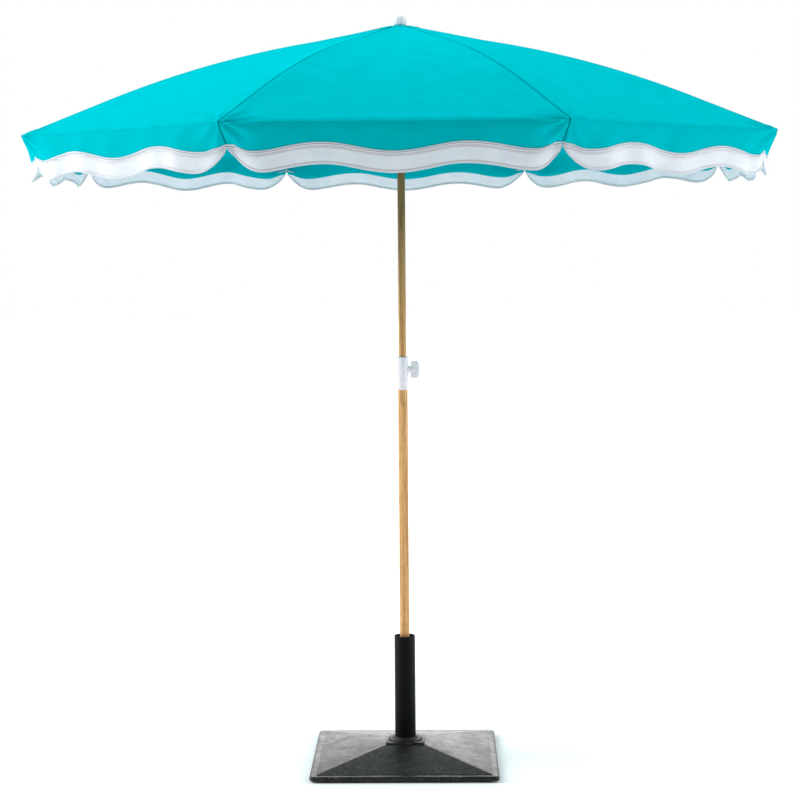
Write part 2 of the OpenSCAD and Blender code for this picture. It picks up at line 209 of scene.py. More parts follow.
raised = bmesh.ops.extrude_face_region(slopes, geom=top)
crest = [v for v in raised["geom"] if isinstance(v, bmesh.types.BMVert)]
bmesh.ops.delete(slopes, geom=top, context="FACES_ONLY")
for v in crest:
    v.co = Vector((math.copysign(pad_half, v.co.x), math.copysign(pad_half, v.co.y), pad_low))
top = [f for f in slopes.faces if f.normal.z > 0.99 and f.calc_area() < 0.1]
raised = bmesh.ops.extrude_face_region(slopes, geom=top)
bmesh.ops.delete(slopes, geom=top, context="FACES_ONLY")
pad_top = [v for v in raised["geom"] if isinstance(v, bmesh.types.BMVert)]
bmesh.ops.translate(slopes, vec=(0, 0, base_high.z - pad_low), verts=pad_top)
bmesh.ops.delete(slopes, geom=[f for f in slopes.faces if f.normal.z < -0.9], context="FACES")
bevel(slopes, [e for e in slopes.edges if not e.is_boundary], mould_radius, 2)
scratch = bpy.data.meshes.new("slopes")
slopes.to_mesh(scratch)
slopes.free()
bm.from_mesh(scratch)
cover = make_piece("base_cover", bm, base_plastic, "base", 30)
wall = cover.modifiers.new("wall", "SOLIDIFY")
wall.thickness = shell_wall
wall.offset = -1
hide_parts("base_shell")


# ---- Base tube and its collar ----
# Cold-drawn steel tube with black powder coat, its mouth turned over a little. The collar at its foot is
# injection-moulded plastic, a disc with a short raised neck.
def spun(profile, steps=72):
    """A closed ring turned round Z from an outline of radius and height."""
    ring = bmesh.new()
    points = [ring.verts.new((r, 0, z)) for r, z in profile]
    closed = profile[0][0] > 1e-6 and profile[-1][0] > 1e-6
    for a, b in zip(points, points[1:] + points[:1] if closed else points[1:]):
        ring.edges.new((a, b))
    bmesh.ops.spin(
        ring, geom=ring.verts[:] + ring.edges[:], cent=(0, 0, 0), axis=(0, 0, 1), dvec=(0, 0, 0),
        angle=2 * math.pi, steps=steps, use_merge=True, use_duplicate=False
    )
    bmesh.ops.remove_doubles(ring, verts=ring.verts[:], dist=1e-6)
    bmesh.ops.recalc_face_normals(ring, faces=ring.faces[:])
    return ring


def arc(centre_r, centre_z, radius, start_deg, end_deg, steps):
    """Points on a rounded corner of an outline."""
    angles = [math.radians(start_deg + (end_deg - start_deg) * i / steps) for i in range(steps + 1)]
    return [(centre_r + radius * math.cos(a), centre_z + radius * math.sin(a)) for a in angles]


def tube_outline(outer, inner, low, high, lip):
    """A tube's wall with rounded ends."""
    return (
        arc(outer - lip, low + lip, lip, -90, 0, 3) + arc(outer - lip, high - lip, lip, 0, 90, 4)
        + arc(inner + lip, high - lip, lip, 90, 180, 4) + arc(inner + lip, low + lip, lip, 180, 270, 3)
    )


def powder_coat():
    """Black powder coat on steel: satin, with a faint orange peel of about 2 mm."""
    finish, tree, shader = new_finish("black_powder_coat", Roughness=0.5, IOR=1.5)
    place = add_node(tree, "TexCoord").outputs["Object"]
    shader.inputs["Specular IOR Level"].default_value = 0.12
    peel = add_node(tree, "TexNoise", Vector=place, Scale=500.0, Detail=2.0)
    cloud = add_node(tree, "TexNoise", Vector=place, Scale=14.0, Detail=3.0)
    tone = add_node(tree, "ValToRGB", Fac=cloud.outputs["Fac"])
    colour = ramp_colours(tone, (0.3, hex_colour("#020202")), (0.75, hex_colour("#050505")))
    tree.links.new(colour, shader.inputs["Base Color"])
    bump = add_node(tree, "Bump", Height=peel.outputs["Fac"], Strength=0.2, Distance=0.0003)
    tree.links.new(bump.outputs["Normal"], shader.inputs["Normal"])
    return finish


def black_moulding():
    """Black polypropylene from a lightly textured mould: matte, with a soft grain of 1.5 mm."""
    finish, tree, shader = new_finish("black_polypropylene", Roughness=0.5, IOR=1.49)
    place = add_node(tree, "TexCoord").outputs["Object"]
    grain = add_node(tree, "TexNoise", Vector=place, Scale=650.0, Detail=2.0)
    tone = add_node(tree, "ValToRGB", Fac=grain.outputs["Fac"])
    colour = ramp_colours(tone, (0.35, hex_colour("#0a0a0b")), (0.7, hex_colour("#141415")))
    tree.links.new(colour, shader.inputs["Base Color"])
    bump = add_node(tree, "Bump", Height=grain.outputs["Fac"], Strength=0.25, Distance=0.0003)
    tree.links.new(bump.outputs["Normal"], shader.inputs["Normal"])
    return finish


black_coat = powder_coat()
black_plastic = black_moulding()
tube_low, tube_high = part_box("base_tube")
tube_radius = tube_high.x
tube_wall = 0.0025
tube_lip = 0.0011
bm = spun(tube_outline(tube_radius, tube_radius - tube_wall, tube_low.z, tube_high.z, tube_lip), 96)
post = make_piece("base_post", bm, black_coat, "base")
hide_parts("base_tube")

collar_low, collar_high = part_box("base_flange")
collar_radius = collar_high.x
neck_radius = 0.036
disc_top = collar_low.z + 0.0035
bore = tube_radius + 0.0001
bm = spun(
    [(bore, collar_low.z), (collar_radius - 0.0004, collar_low.z)]
    + arc(collar_radius - 0.0016, disc_top - 0.0016, 0.0016, 0, 90, 4)
    + arc(neck_radius + 0.002, disc_top + 0.002, 0.002, 270, 180, 4)
    + arc(neck_radius - 0.0014, collar_high.z - 0.0014, 0.0014, 0, 90, 4)
    + [(bore, collar_high.z)]
)
collar = make_piece("base_collar", bm, black_plastic, "base")
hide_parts("base_flange")


# ---- Clamp knob of the base tube ----
# Black moulded wing knob on an M8 screw, at the back of the tube. It turns in a boss welded to the tube.
def wing_knob(low, high, middle, neck, thickness):
    """A knob along +X between two heights: a round neck, and a flat wing that bulges on its outer side."""
    start, end, tall = low[0], high[0], high[2] - low[2]
    knob = bmesh.new()
    length = neck + 0.008
    middle_of_neck = Matrix.Translation((start + length / 2, 0, 0))
    bmesh.ops.create_cone(
        knob, cap_ends=True, segments=48, radius1=0.010, radius2=0.0095, depth=length,
        matrix=middle_of_neck @ Matrix.Rotation(math.radians(90), 4, "Y")
    )
    bevel(knob, [e for e in knob.edges if abs(e.verts[0].co.x - e.verts[1].co.x) < 1e-6], 0.0008, 2)
    wing = bmesh.new()
    steps = 10
    outline = []
    for i in range(steps + 1):
        t = -1 + 2 * i / steps
        outline.append((end - 0.004 * t * t, t * tall / 2))
    for i in range(steps + 1):
        t = 1 - 2 * i / steps
        outline.append((start + neck + 0.001 * t * t, t * tall / 2))
    sides = [wing.verts.new((x, -thickness / 2, z)) for x, z in outline]
    face = wing.faces.new(sides)
    grown = bmesh.ops.extrude_face_region(wing, geom=[face])["geom"]
    far_side = [v for v in grown if isinstance(v, bmesh.types.BMVert)]
    bmesh.ops.translate(wing, vec=(0, thickness, 0), verts=far_side)
    bmesh.ops.recalc_face_normals(wing, faces=wing.faces[:])
    corner = [e for e in wing.edges if abs(e.verts[0].co.y - e.verts[1].co.y) > 1e-4
              and all(abs(v.co.z) > tall / 2 - 1e-5 for v in e.verts)]
    bevel(wing, corner, 0.0038, 5)
    rim = [e for e in wing.edges if abs(e.verts[0].co.y - e.verts[1].co.y) < 1e-6]
    bevel(wing, rim, 0.0026, 4)
    scratch = bpy.data.meshes.new("wing")
    wing.to_mesh(scratch)
    wing.free()
    knob.from_mesh(scratch)
    bmesh.ops.translate(knob, vec=(0, 0, middle), verts=knob.verts[:])
    return knob


knob_low, knob_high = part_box("tube_knob")
bm = wing_knob(
    (knob_low.y, 0, knob_low.z), (knob_high.y, 0, knob_high.z), (knob_low.z + knob_high.z) / 2, 0.005, 0.009
)
bmesh.ops.rotate(bm, cent=(0, 0, 0), matrix=Matrix.Rotation(math.radians(90), 3, "Z"), verts=bm.verts[:])
clamp_knob = make_piece("tube_clamp_knob", bm, black_plastic, "tube_clamp")
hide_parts("tube_knob")


# ---- Pole ----
# Two steel tubes that telescope, wrapped in printed wood-grain film with a satin face. The film has long
# straight oak grain, honey coloured with darker streaks a few millimetres wide.
def wood_grain_film(name, shade_span=None):
    """Film with grain. Its second argument gives two heights between which painted shade turns the print from
    honey to a dark olive tint.
    """
    finish, tree, shader = new_finish(name, Roughness=0.5, IOR=1.5)
    shader.inputs["Specular IOR Level"].default_value = 0.15
    place = add_node(tree, "TexCoord").outputs["Object"]
    long_way = add_node(tree, "Mapping", Vector=place, Scale=(1.0, 1.0, 0.02))
    broad = add_node(
        tree, "TexNoise", Vector=long_way.outputs["Vector"], Scale=110.0, Detail=2.0, Roughness=0.5
    )
    fine_way = add_node(tree, "Mapping", Vector=place, Scale=(1.0, 1.0, 0.045))
    fine = add_node(
        tree, "TexNoise", Vector=fine_way.outputs["Vector"], Scale=420.0, Detail=4.0, Roughness=0.6,
        Distortion=0.6
    )
    base = ramp_colours(
        add_node(tree, "ValToRGB", Fac=broad.outputs["Fac"]),
        (0.32, hex_colour("#af8352")), (0.5, hex_colour("#d2a069")), (0.68, hex_colour("#e0b37b"))
    )
    streaks = ramp_colours(
        add_node(tree, "ValToRGB", Fac=fine.outputs["Fac"]),
        (0.38, (0.55, 0.47, 0.38, 1)), (0.5, (1, 1, 1, 1)), (0.75, (1.0, 1.0, 1.0, 1))
    )
    mixed = add_node(
        tree, "Mix", {"data_type": "RGBA", "blend_type": "MULTIPLY"}, i0=0.75, i6=base, i7=streaks
    )
    result = mixed.outputs[2]
    if shade_span:
        # Painted shade: going up between the two heights, the film is multiplied toward dark olive in place
        # of the canopy's shadow on the tube.
        height = add_node(tree, "SeparateXYZ", Vector=place).outputs["Z"]
        shade_share = add_node(tree, "MapRange", i0=height, i1=shade_span[0], i2=shade_span[1], i3=0.0, i4=0.88)
        dark = (0.12, 0.17, 0.12, 1)
        result = add_node(
            tree, "Mix", {"data_type": "RGBA", "blend_type": "MULTIPLY"},
            i0=shade_share.outputs["Result"], i6=result, i7=dark
        ).outputs[2]
    tree.links.new(result, shader.inputs["Base Color"])
    bump = add_node(tree, "Bump", Height=fine.outputs["Fac"], Strength=0.15, Distance=0.0003)
    tree.links.new(bump.outputs["Normal"], shader.inputs["Normal"])
    return finish


wood_film = wood_grain_film("wood_grain_film")
lower_low, lower_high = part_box("lower_pole")
bm = spun(tube_outline(lower_high.x, lower_high.x - 0.0018, lower_low.z, lower_high.z, 0.0006), 64)
lower_pole = make_piece("lower_pole_tube", bm, wood_film, "lower")
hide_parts("lower_pole")
upper_low, upper_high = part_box("upper_pole")
bm = spun(tube_outline(upper_high.x, upper_high.x - 0.0015, upper_low.z, upper_high.z, 0.0005), 64)
# The upper tube's film darkens toward its top: painted shade of the canopy above it.
shaded_film = wood_grain_film("wood_grain_film_painted_shade_above", (1.06, 1.60))
upper_pole = make_piece("upper_pole_tube", bm, shaded_film, "upper")
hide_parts("upper_pole")


# ---- Clamp sleeve and its knob ----
# White ABS, injection moulded. The sleeve is pressed on the lower tube. Its boss carries a brass insert, in
# which the wing knob's screw turns to grip the upper tube.
def white_moulding(name, low, high):
    """White ABS with a satin mould finish and faint flow marks 15 mm apart."""
    finish, tree, shader = new_finish(name, Roughness=0.45, IOR=1.53)
    shader.inputs["Specular IOR Level"].default_value = 0.2
    place = add_node(tree, "TexCoord").outputs["Object"]
    flow = add_node(tree, "TexNoise", Vector=place, Scale=60.0, Detail=3.0)
    colour = ramp_colours(
        add_node(tree, "ValToRGB", Fac=flow.outputs["Fac"]), (0.3, hex_colour(low)), (0.7, hex_colour(high))
    )
    tree.links.new(colour, shader.inputs["Base Color"])
    bump = add_node(tree, "Bump", Height=flow.outputs["Fac"], Strength=0.08, Distance=0.0004)
    tree.links.new(bump.outputs["Normal"], shader.inputs["Normal"])
    return finish


white_plastic = white_moulding("white_abs", "#d6d3d8", "#dedbdf")
sleeve_low, sleeve_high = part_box("height_sleeve")
sleeve_radius = sleeve_high.y
screw_low, screw_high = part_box("height_screw")
screw_z = (screw_low.z + screw_high.z) / 2
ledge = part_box("lower_pole")[1].z
boss_from = 0.0135
bm = spun(
    arc(sleeve_radius - 0.002, sleeve_low.z + 0.002, 0.002, -90, 0, 4)
    + arc(sleeve_radius - 0.003, sleeve_high.z - 0.003, 0.003, 0, 90, 5)
    + arc(upper_high.x + 0.0012, sleeve_high.z - 0.001, 0.001, 90, 180, 3)
    + [(upper_high.x + 0.0002, ledge), (lower_high.x + 0.0001, ledge), (lower_high.x + 0.0001, sleeve_low.z)]
)
boss = bmesh.new()
boss_middle = Matrix.Translation(((sleeve_high.x + boss_from) / 2, 0, screw_z))
bmesh.ops.create_cone(
    boss, cap_ends=False, segments=48, radius1=0.0115, radius2=0.010, depth=sleeve_high.x - boss_from,
    matrix=boss_middle @ Matrix.Rotation(math.radians(90), 4, "Y")
)
end = [e for e in boss.edges if e.is_boundary and all(v.co.x > 0.02 for v in e.verts)]
for radius in (0.0096, 0.0051):
    made = bmesh.ops.extrude_edge_only(boss, edges=end)["geom"]
    for v in [v for v in made if isinstance(v, bmesh.types.BMVert)]:
        side = Vector((0, v.co.y, v.co.z - screw_z)).normalized() * radius
        v.co = Vector((sleeve_high.x, side.y, screw_z + side.z))
    end = [e for e in made if isinstance(e, bmesh.types.BMEdge)]
scratch = bpy.data.meshes.new("boss")
boss.to_mesh(scratch)
boss.free()
bm.from_mesh(scratch)
sleeve = make_piece("clamp_sleeve", bm, white_plastic, "lower")
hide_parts("height_sleeve")

knob_low, knob_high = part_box("height_knob")
bm = wing_knob(knob_low, knob_high, (knob_low.z + knob_high.z) / 2, 0.001, 0.014)
height_knob = make_piece("height_clamp_knob", bm, white_plastic, "height_clamp")
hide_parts("height_knob")


# ---- Finial ----
# White ABS cap screwed on the stud at the top. Its side has shallow flutes for the fingers.
finial_low, finial_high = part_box("finial")
finial_radius = finial_high.x
dome_from = finial_low.z + 0.013
dome_top = finial_high.z + 0.002
flutes = 14
flute_depth = 0.0007
dome = arc(0, dome_from, 1, 0, 90, 9)
bm = spun(
    [(0, finial_low.z), (finial_radius - 0.0025, finial_low.z)]
    + [(finial_radius - 0.0012, finial_low.z + 0.001), (finial_radius - 0.0012, finial_low.z + 0.006)]
    + [(r * finial_radius, dome_from + (z - dome_from) * (dome_top - dome_from)) for r, z in dome[:-1]]
    + [(0, dome_top)],
    112
)
for v in bm.verts:
    out = math.hypot(v.co.x, v.co.y)
    if out > 0.3 * finial_radius:
        turn = math.atan2(v.co.y, v.co.x)
        dent = flute_depth * (0.5 + 0.5 * math.cos(flutes * turn)) * min(1, (out / finial_radius - 0.3) / 0.5)
        v.co.xy = v.co.xy * (1 - dent / out)
# The cap gets a lighter copy of the same white ABS: painted light on the cap at the top, under the overhead
# lamp.
lit_white_abs = white_moulding("white_abs_lit_copy", "#dcd9dd", "#e4e1e4")
finial = make_piece("finial_cap", bm, lit_white_abs, "upper", 60)
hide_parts("finial")


# ---- Canopy cloth ----
# Plain-woven polyester, about 180 g a square metre, dyed turquoise. Eight gores are sewn together along the
# ribs. Each folds over a taut hem line and hangs down as a flap, whose ends are drawn in along the seam at
# the rib tips.
panels = 8
half_angle = math.pi / panels
rib_pivot = Vector(next(j for j in frame["joints"] if j["name"] == "rib_turn_1")["pos_m"])
pivot_radius = rib_pivot.xy.length
root_slope, tip_slope = math.radians(9.5), math.radians(22.5)
bend_start, bend_end = 0.220, 0.860
bend_radius = (bend_end - bend_start) / (math.sin(tip_slope) - math.sin(root_slope))
cloth_over_rib = 0.0045
crest_radius, rest_radius = 0.030, 0.260
crest_height = rib_pivot.z + 0.015
cloth_start = 0.036
tip_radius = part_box("panel_1")[1].x / math.cos(half_angle)


def rib_slope(r):
    """Slope of a rib at radius r: straight, then bent on one radius, then straight."""
    if r < bend_start:
        return root_slope
    return math.asin(math.sin(root_slope) + (r - bend_start) / bend_radius) if r < bend_end else tip_slope


def rib_height(r):
    """Height of a rib's middle line at radius r."""
    height = rib_pivot.z - (min(r, bend_start) - pivot_radius) * math.tan(root_slope)
    if r > bend_start:
        height -= bend_radius * (math.cos(root_slope) - math.cos(rib_slope(min(r, bend_end - 1e-9))))
    return height - max(0, r - bend_end) * math.tan(tip_slope)


def cloth_height(r):
    """Height of the taut cloth at radius r, measured along a rib."""
    def over(q):
        return rib_height(q) + cloth_over_rib / math.cos(rib_slope(q))
    if r > rest_radius:
        return over(r)
    rise = over(rest_radius) - crest_height
    return crest_height + rise * (r - crest_radius) / (rest_radius - crest_radius)


hem_x = tip_radius * math.cos(half_angle)
hem_z = cloth_height(tip_radius)
panel_length = (tip_radius - cloth_start) / math.cos(tip_slope)
hem_sag = 0.010            # how far the middle of a gore lies under its seams
flap_leans = (5, 7, 4, 6, 5, 2, 9, 3)     # degrees from upright, by panel: the front one hangs furthest in
seam_length = 0.069        # length of the seam that joins neighbouring flaps
seam_inward = 0.042        # how far that seam is drawn in
seam_drop = 0.058          # how far its lower end lies below the hem
free_lean = math.radians(10)
flap_half = (hem_x - seam_inward) * math.tan(half_angle)
wave_length = 0.42 * 2 * tip_radius * math.sin(half_angle)
wave_middle, wave_depth = 0.1165, 0.0115
band_width = 0.053
rounded_left = 0.108       # width over which each flap's left end is rounded; its right end follows by panel
rounded_right = (0.100, 0.086, 0.094, 0.090, 0.098, 0.100, 0.062, 0.090)
fold_sharp = 0.003         # half the length of the hem fold at the rib tips
fold_soft = 0.023          # what is added to that at the middle
groove_depth, groove_width = 0.0022, 0.0045       # how the cloth is pulled in along a seam


def ease(x):
    """Runs smoothly from 0 to 1 as x does."""
    x = min(1, max(0, x))
    return x * x * (3 - 2 * x)


def from_seam(a):
    """Distance of a from the nearer seam, at the hem."""
    return (1 - abs(a)) * hem_x * math.tan(half_angle)


def fold_path(k, a, q):
    """Where panel k's cloth runs in an upright plane, as distance out and height. a is the place across the
    gore, from -1 to 1. q is the distance along the cloth from the hem fold, negative on the gore."""
    if q <= 0:
        r = tip_radius + q * math.cos(tip_slope)
        part = min(1, max(0, (r - 0.05) / (tip_radius - 0.05)))
        sag = hem_sag * (1 - a * a) * math.sin(math.pi * part) ** 0.8
        return Vector((r * math.cos(half_angle), 0, cloth_height(r) - sag))
    lean = math.radians(flap_leans[k - 1])
    middle = Vector((-q * math.sin(lean), 0, -q * math.cos(lean)))
    along = min(q, seam_length) / seam_length
    free = max(0, q - seam_length)
    side = Vector((
        -seam_inward * along ** 1.35 - free * math.sin(free_lean), 0,
        -seam_drop * along - free * math.cos(free_lean)
    ))
    pull = abs(a) ** 7
    return Vector((hem_x, 0, hem_z)) + middle * (1 - pull) + side * pull


def hanging(k, a, q):
    """fold_path with the hem fold rounded, softly in the middle and sharply over the rib tips."""
    soft = fold_sharp + fold_soft * (1 - a ** 4)
    if abs(q) >= soft:
        return fold_path(k, a, q)
    u = (q + soft) / (2 * soft)
    corner = Vector((hem_x, 0, hem_z)) * (2 * u * (1 - u))
    return fold_path(k, a, -soft) * (1 - u) ** 2 + corner + fold_path(k, a, soft) * u * u


def ripple(k, a, q):
    """How far the cloth stands out from its smooth shape: soft flutes in the hanging flap, creases that run
    from the rib tips, and broad slack in the gore."""
    phase = 1.7 * k
    hang = min(1, max(0, q / 0.12))
    flute = 0.0045 * hang * math.sin(2.3 * math.pi * a + phase)
    flute += 0.0028 * hang * math.sin(6.1 * math.pi * a + 2 * phase)
    flute += 0.012 * hang * noise.noise(Vector((4.4 * a, 2.0 * q, 5.7 * k)))
    inward = from_seam(a)
    reach = math.hypot(inward, q)
    spread = math.atan2(q, inward + 1e-6)
    crease = 0.0042 * math.sin(8 * spread + phase) * ease(reach / 0.02) * ease((0.13 - reach) / 0.1)
    crease *= ease(inward / 0.012)
    slack = 0.0022 * noise.noise(Vector((3.2 * a, 4.5 * q, 9.1 * k))) * ease(-q / 0.1)
    slack *= ease(inward / 0.03)
    return (flute + crease) * ease(inward / 0.02) + slack


def cloth_point(k, a, q, lift=0.0):
    """A point on panel k's cloth. lift stands it proud of the cloth's outer face."""
    def smooth(b, p):
        run = hanging(k, b, p)
        across = hanging(k, 1, p).x * math.tan(half_angle) - 0.0003
        return Vector((run.x, b * across, run.z))
    here = smooth(a, q)
    step = 0.002
    along = smooth(a, q + step) - smooth(a, q - step)
    sideways = smooth(min(1, a + step), q) - smooth(max(-1, a - step), q)
    out = along.cross(sideways).normalized()
    groove = -groove_depth * math.exp(-((from_seam(a) / groove_width) ** 2)) if q < seam_length else 0
    groove *= ease((abs(q) - 0.006) / 0.03)
    here += out * (ripple(k, a, q) + groove + lift)
    turn = Matrix.Rotation(2 * math.pi / panels * (k - 1), 3, "Z")
    return turn @ here


def wave(a):
    """Length of the flap at a, before its ends are rounded."""
    return wave_middle + wave_depth * math.cos(2 * math.pi * a * flap_half / wave_length)


def flap_end(k, a):
    """Length of flap k at a: it follows the wave, and its ends round up to the seam."""
    wide = rounded_left if a < 0 else rounded_right[k - 1]
    past = (abs(a) * flap_half - (flap_half - wide)) / wide
    if past <= 0:
        return wave(a)
    return seam_length + (wave(a) - seam_length) * (1 - past ** 2.2) ** 0.6


def band_top(a):
    """Where the white band begins: its width above the wave, and by the seam's lower end at the sides."""
    rise = ease((abs(a) * flap_half - 0.345) / 0.055)
    return (wave(a) - band_width) * (1 - rise) + (seam_length - 0.003) * rise


def cloth_sheet(
    name, k, columns, rows, start, end, finish, body,
    lift=0.0, thickness=0.0007, profile=None, spread=lambda t: t
):
    """A sheet on panel k between two lines across it, each a distance along the cloth as a function of a. Its
    UV map is the flat cloth in metres, and seam_distance is how far each vertex lies from the nearer seam."""
    sheet = bmesh.new()
    across = sheet.loops.layers.uv.new("UVMap")
    bmesh.ops.create_grid(sheet, x_segments=rows, y_segments=columns, size=0.5)
    edge = sheet.verts.layers.float.new("seam_distance")
    flat = {}
    for v in sheet.verts:
        t, s = spread(min(1, max(0, v.co.x + 0.5))), min(1, max(0, v.co.y + 0.5))
        a = -math.cos(math.pi * s)
        q = start(a) + (end(a) - start(a)) * t
        radius = tip_radius + min(q, 0) * math.cos(tip_slope)
        flat[v] = (a * radius * math.sin(half_angle), q)
        v[edge] = (1 - abs(a)) * radius * math.sin(half_angle)
        v.co = cloth_point(k, a, q, lift + (profile(t) if profile else 0))
    for face in sheet.faces:
        for loop in face.loops:
            loop[across].uv = flat[loop.vert]
    area = sum(f.calc_area() for f in sheet.faces)
    piece = make_piece(name, sheet, finish, body, 60)
    cloth = piece.modifiers.new("cloth", "SOLIDIFY")
    cloth.thickness = thickness
    cloth.offset = -1
    return piece, area


def folds_up(piece):
    """Gives the piece a mesh of its own."""
    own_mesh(piece)


def woven(name, colours, repeat_mm, roughness, seam_thread_and_shade=None):
    """Plain weave, whose relief repeats every repeat_mm. That is far coarser than the real 0.4 mm, so that it
    shows. The dye varies a little over a hand's width."""
    finish, tree, shader = new_finish(name, Roughness=roughness, IOR=1.45)
    shader.inputs["Specular IOR Level"].default_value = 0.0
    place = add_node(tree, "UVMap", {"uv_map": "UVMap"}).outputs["UV"]
    wave_scale = 2 * math.pi * 1000 / repeat_mm / 20       # a wave texture of scale 1 turns 20 radians in 1 m
    warp = add_node(
        tree, "TexWave", {"wave_type": "BANDS", "bands_direction": "X", "wave_profile": "SIN"},
        Vector=place, Scale=wave_scale
    )
    weft = add_node(
        tree, "TexWave", {"wave_type": "BANDS", "bands_direction": "Y", "wave_profile": "SIN"},
        Vector=place, Scale=wave_scale
    )
    weave = add_node(tree, "Math", {"operation": "MULTIPLY"}, i0=warp.outputs["Fac"], i1=weft.outputs["Fac"])
    dye = add_node(tree, "TexNoise", Vector=place, Scale=14.0, Detail=4.0)
    result = ramp_colours(
        add_node(tree, "ValToRGB", Fac=dye.outputs["Fac"]),
        (0.3, hex_colour(colours[0])), (0.7, hex_colour(colours[1]))
    )
    # The cloth darkens within about 3 mm of a seam: partly the stitch line, partly painted shade of the
    # groove along the seam.
    if seam_thread_and_shade:
        edge = add_node(tree, "Attribute", {"attribute_name": "seam_distance"})
        seam_line_and_shade = ramp_colours(
            add_node(tree, "ValToRGB", Fac=add_node(
                tree, "MapRange", i0=edge.outputs["Fac"], i1=0.0, i2=0.02, i3=0.0, i4=1.0
            ).outputs["Result"]),
            (0.0, hex_colour(seam_thread_and_shade)), (0.05, hex_colour(seam_thread_and_shade)), (0.14, (1, 1, 1, 1))
        )
        mixed = add_node(
            tree, "Mix", {"data_type": "RGBA", "blend_type": "MULTIPLY"}, i0=1.0, i6=result, i7=seam_line_and_shade
        )
        result = mixed.outputs[2]
    tree.links.new(result, shader.inputs["Base Color"])
    bump = add_node(tree, "Bump", Height=weave.outputs["Value"], Strength=0.1, Distance=0.0001)
    tree.links.new(bump.outputs["Normal"], shader.inputs["Normal"])
    return finish


weave_repeat_mm = 5.655
# Its seams darken toward #6f9a9e: the stitch line, with painted shade of the seam groove.
turquoise = woven("turquoise_polyester", ("#009fa9", "#00a5af"), weave_repeat_mm, 0.95, "#6f9a9e")
white_cloth = woven("white_polyester", ("#babdc4", "#c3c6cc"), weave_repeat_mm, 0.9)
white_shader = white_cloth.node_tree.nodes["Principled BSDF"]
white_shader.inputs["Subsurface Weight"].default_value = 0.7     # thin enough for daylight to show through
white_shader.inputs["Subsurface Radius"].default_value = (1, 1, 1)
white_shader.inputs["Subsurface Scale"].default_value = 0.003
for k in range(1, panels + 1):
    gore, area = cloth_sheet(
        f"gore_{k}", k, 56, 84, lambda a: -panel_length, lambda a: 0.0, turquoise, f"cloth{k}",
        spread=lambda t: 1 - (1 - t) ** 1.5
    )
    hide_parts(f"panel_{k}")
    folds_up(gore)


# ---- Valance: flap, white band, binding and hem ----
# The flap is the gore's own cloth below the fold. A band of white polyester is sewn on its wavy lower edge
# under a doubled white tape, with blue-grey thread. The band's free edge is turned up in a narrow hem.
def stitched(name, cloth_colour, thread_colour, lines, thread_width, stitch):
    """White tape with lines of lock stitch. The second UV runs across the tape, from 0 to 1."""
    finish, tree, shader = new_finish(name, Roughness=0.7, IOR=1.45)
    place = add_node(tree, "UVMap", {"uv_map": "tape"}).outputs["UV"]
    parts = add_node(tree, "SeparateXYZ", Vector=place)
    dash = add_node(tree, "Math", {"operation": "PINGPONG"}, i0=parts.outputs["X"], i1=stitch / 2)
    stitches = add_node(
        tree, "MapRange", i0=dash.outputs["Value"], i1=stitch * 0.05, i2=stitch * 0.12, i3=0.0, i4=1.0
    )
    total = None
    for line in lines:
        off = add_node(tree, "Math", {"operation": "SUBTRACT"}, i0=parts.outputs["Y"], i1=line)
        size = add_node(tree, "Math", {"operation": "ABSOLUTE"}, i0=off.outputs["Value"])
        on = add_node(
            tree, "MapRange", i0=size.outputs["Value"], i1=thread_width * 0.7, i2=thread_width, i3=1.0, i4=0.0
        )
        total = on.outputs["Result"] if total is None else add_node(
            tree, "Math", {"operation": "MAXIMUM"}, i0=total, i1=on.outputs["Result"]
        ).outputs["Value"]
    thread = add_node(tree, "Math", {"operation": "MULTIPLY"}, i0=total, i1=stitches.outputs["Result"])
    nap = add_node(tree, "TexNoise", Vector=place, Scale=300.0, Detail=2.0)
    cloth = ramp_colours(
        add_node(tree, "ValToRGB", Fac=nap.outputs["Fac"]),
        (0.3, hex_colour(cloth_colour[0])), (0.7, hex_colour(cloth_colour[1]))
    )
    mixed = add_node(
        tree, "Mix", {"data_type": "RGBA"}, i0=thread.outputs["Value"], i6=cloth, i7=hex_colour(thread_colour)
    )
    tree.links.new(mixed.outputs[2], shader.inputs["Base Color"])
    bump = add_node(tree, "Bump", Height=thread.outputs["Value"], Strength=0.4, Distance=0.0004)
    tree.links.new(bump.outputs["Normal"], shader.inputs["Normal"])
    return finish


def tape_uv(piece, rows):
    """Adds the UV that runs along the tape in metres and across it from 0 to 1."""
    mesh = piece.data
    along = mesh.uv_layers["UVMap"]
    made = mesh.uv_layers.new(name="tape")
    for loop in mesh.loops:
        u = along.data[loop.index].uv[0]
        made.data[loop.index].uv = (u, (loop.vertex_index % (rows + 1)) / rows)


binding_width = 0.0075
binding_lap = 0.001        # how far the binding tape stands above the band's upper edge
hem_width = 0.007
flap_tuck = 0.008          # how far the flap's cloth runs up under the gore
flap_lap = 0.014           # how far it runs down behind the band
rows_of_binding, rows_of_hem = 6, 4
binding_finish = stitched("white_binding_tape", ("#b9bcc3", "#c3c6cc"), "#5f8296", (0.55,), 0.16, 0.006)
hem_finish = stitched("white_hem", ("#babdc4", "#c3c6cc"), "#8ba5b5", (0.75,), 0.09, 0.005)


def doubled(t):
    """Height of the binding tape over the cloth: two soft ridges, with the stitched line pressed between."""
    return 0.0006 + 0.0009 * math.sin(math.pi * t) - 0.0009 * math.exp(-((t - 0.55) / 0.16) ** 2)


def turned_hem(t):
    """Height of the turned hem over the cloth: one soft ridge."""
    return 0.0005 + 0.0007 * math.sin(math.pi * t)


